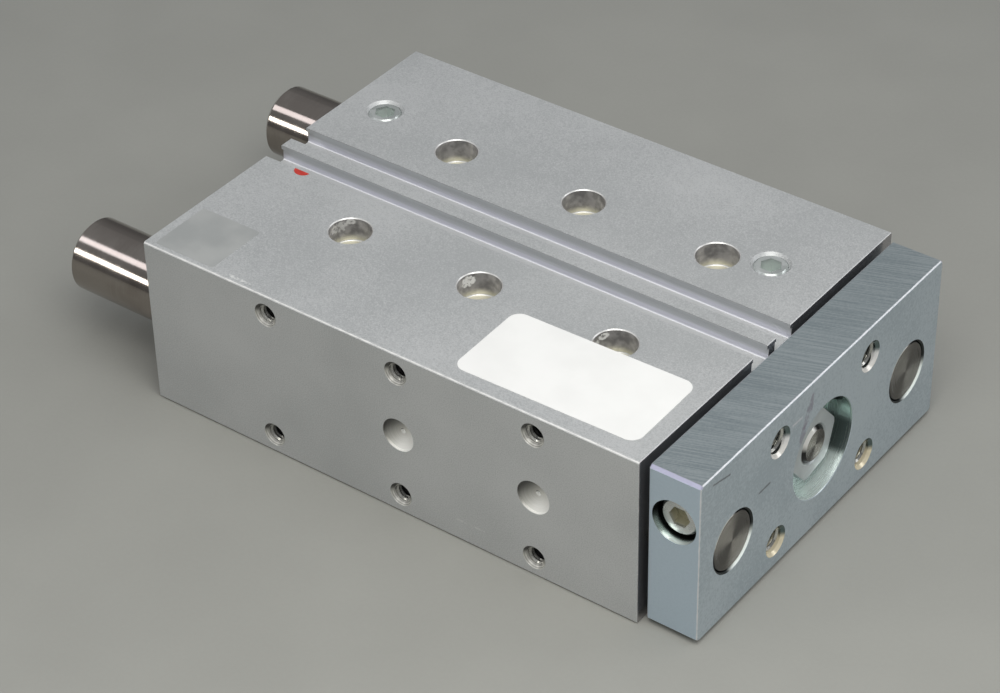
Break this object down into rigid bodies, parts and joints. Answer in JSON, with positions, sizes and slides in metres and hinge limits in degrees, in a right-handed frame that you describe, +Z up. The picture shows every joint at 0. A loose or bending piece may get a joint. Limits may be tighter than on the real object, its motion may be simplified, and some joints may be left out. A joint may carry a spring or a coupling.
{
  "type": "guided pneumatic cylinder",
  "caption": "Compact guided pneumatic cylinder: block housing whose piston rod and side guide rods carry a front yoke plate, with sensor slots, mounting holes and plugged air ports.",
  "frame": {"origin": "middle of the housing's bottom face", "axes": "+X along the stroke towards the yoke plate, +Y towards the side with the air ports, +Z up out of the slotted top"},
  "size_m": [0.1985, 0.11, 0.0485],
  "materials": {
    "housing_aluminium": "satin anodised",
    "inner_aluminium": "turned",
    "plate_zinc": "bright zinc plated",
    "guide_steel": "hardened, ground and polished",
    "fastener_zinc": "zinc plated",
    "plug_zinc": "bright zinc plated",
    "spring_steel": "phosphated",
    "bush_bronze": "plain bearing",
    "seal_rubber": "matt",
    "magnet_compound": "bonded magnet",
    "bearing_plastic": "matt"
  },
  "bodies": {
    "housing_body": {"housing": "housing_aluminium", "gland": "inner_aluminium", "gland_o_ring": "seal_rubber", "gland_retaining_ring": "spring_steel", "rod_bush": "bush_bronze", "rod_seal": "seal_rubber", "front_buffer": "seal_rubber", "rear_cap": "inner_aluminium", "rear_cap_o_ring": "seal_rubber", "rear_retaining_ring": "spring_steel", "rear_buffer": "seal_rubber", "guide_bush_front_left": "bush_bronze", "guide_bush_front_right": "bush_bronze", "guide_bush_rear_left": "bush_bronze", "guide_bush_rear_right": "bush_bronze", "guide_wiper_left": "seal_rubber", "guide_wiper_right": "seal_rubber", "port_plug_front": "plug_zinc", "port_plug_rear": "plug_zinc"},
    "carriage": {"yoke_plate": "plate_zinc", "guide_rod_left": "guide_steel", "guide_rod_right": "guide_steel", "piston_rod": "guide_steel", "piston_rod_nut": "fastener_zinc", "piston_front": "inner_aluminium", "piston_rear": "inner_aluminium", "piston_magnet": "magnet_compound", "piston_wear_ring": "bearing_plastic", "piston_seal_front": "seal_rubber", "piston_seal_rear": "seal_rubber", "piston_nut": "fastener_zinc", "clamp_screw_left": "fastener_zinc", "clamp_screw_right": "fastener_zinc", "clamp_sleeve_left": "fastener_zinc", "clamp_sleeve_right": "fastener_zinc", "clamp_nut_left": "fastener_zinc", "clamp_nut_right": "fastener_zinc"}
  },
  "joints": [
    {"name": "stroke", "type": "slide", "parent": "housing_body", "child": "carriage", "axis": [1, 0, 0], "range_m": [0, 0.1]}
  ]
}
